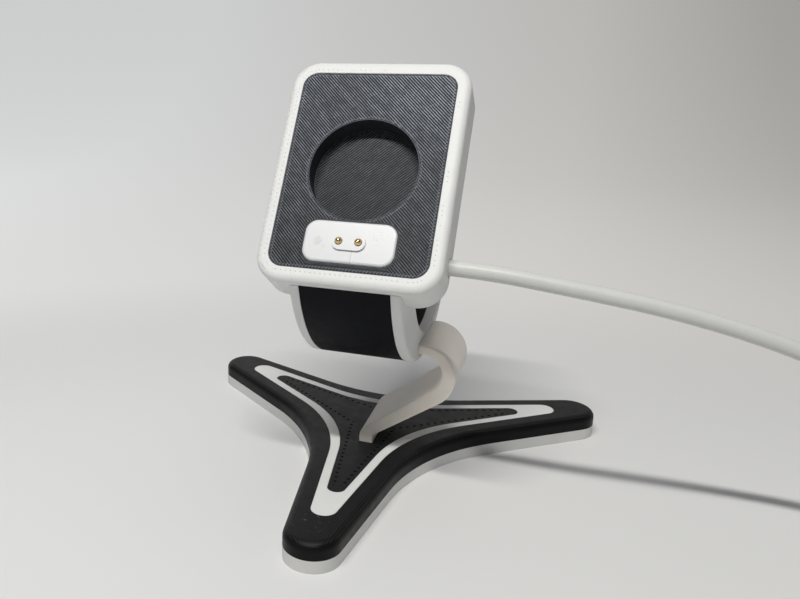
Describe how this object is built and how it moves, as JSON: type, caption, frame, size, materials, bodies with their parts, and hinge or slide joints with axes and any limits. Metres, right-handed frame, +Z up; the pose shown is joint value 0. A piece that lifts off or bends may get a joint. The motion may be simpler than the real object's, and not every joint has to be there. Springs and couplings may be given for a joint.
{
  "type": "smartwatch charging dock",
  "caption": "Desk dock for a smartwatch: a leaning watch-shaped face with a sensor recess and sprung charging contacts on a strap loop, carried by a curled hook on a three-legged base, with its cable",
  "frame": {"origin": "on the table, under the middle of the three-legged base", "axes": "+Z up, the watch face looks towards -Y and upwards, +X to the viewer's right, where the cable leaves"},
  "size_m": [0.2575, 0.0909, 0.0939],
  "materials": {
    "white_plastic": "printed in fine layers, softly matte",
    "black_plastic": "printed in fine layers, slightly glossy lines",
    "puck_plastic": "smooth moulded plastic",
    "gold": "gold plated",
    "steel": "nickel plated",
    "board": "circuit board",
    "tongue_plastic": "moulded plastic",
    "cable_jacket": "smooth soft jacket",
    "tie": "woven hook-and-loop strap"
  },
  "bodies": {
    "dock": {"base_foot_plate": "white_plastic", "base_inlay_ring": "white_plastic", "neck": "white_plastic", "strap_loop": "white_plastic", "case_shell": "white_plastic", "case_back_cover": "white_plastic", "base_top_plate": "black_plastic", "strap_inlay": "black_plastic", "face_insert": "black_plastic", "charger_front_shell": "puck_plastic", "charger_back_shell": "puck_plastic", "usb_plug_body": "puck_plastic", "pogo_barrel_left": "gold", "pogo_barrel_right": "gold", "usb_contact_1": "gold", "usb_contact_2": "gold", "usb_contact_3": "gold", "usb_contact_4": "gold", "pogo_spring_left": "steel", "pogo_spring_right": "steel", "magnet_left": "steel", "magnet_right": "steel", "usb_plug_shell": "steel", "contact_board": "board", "usb_plug_tongue": "tongue_plastic", "cable_relief": "cable_jacket", "charging_cable": "cable_jacket", "cable_coil": "cable_jacket", "cable_tie": "tie"},
    "pin_left": {"pogo_pin_left": "gold"},
    "pin_right": {"pogo_pin_right": "gold"}
  },
  "joints": [
    {"name": "pin_left_press", "type": "slide", "parent": "dock", "child": "pin_left", "axis": [0, 0.8315, -0.5556], "range_m": [0, 0.0007], "stiffness_N_per_m": 1000, "springref_m": -0.0003},
    {"name": "pin_right_press", "type": "slide", "parent": "dock", "child": "pin_right", "axis": [0, 0.8315, -0.5556], "range_m": [0, 0.0007], "stiffness_N_per_m": 1000, "springref_m": -0.0003}
  ]
}
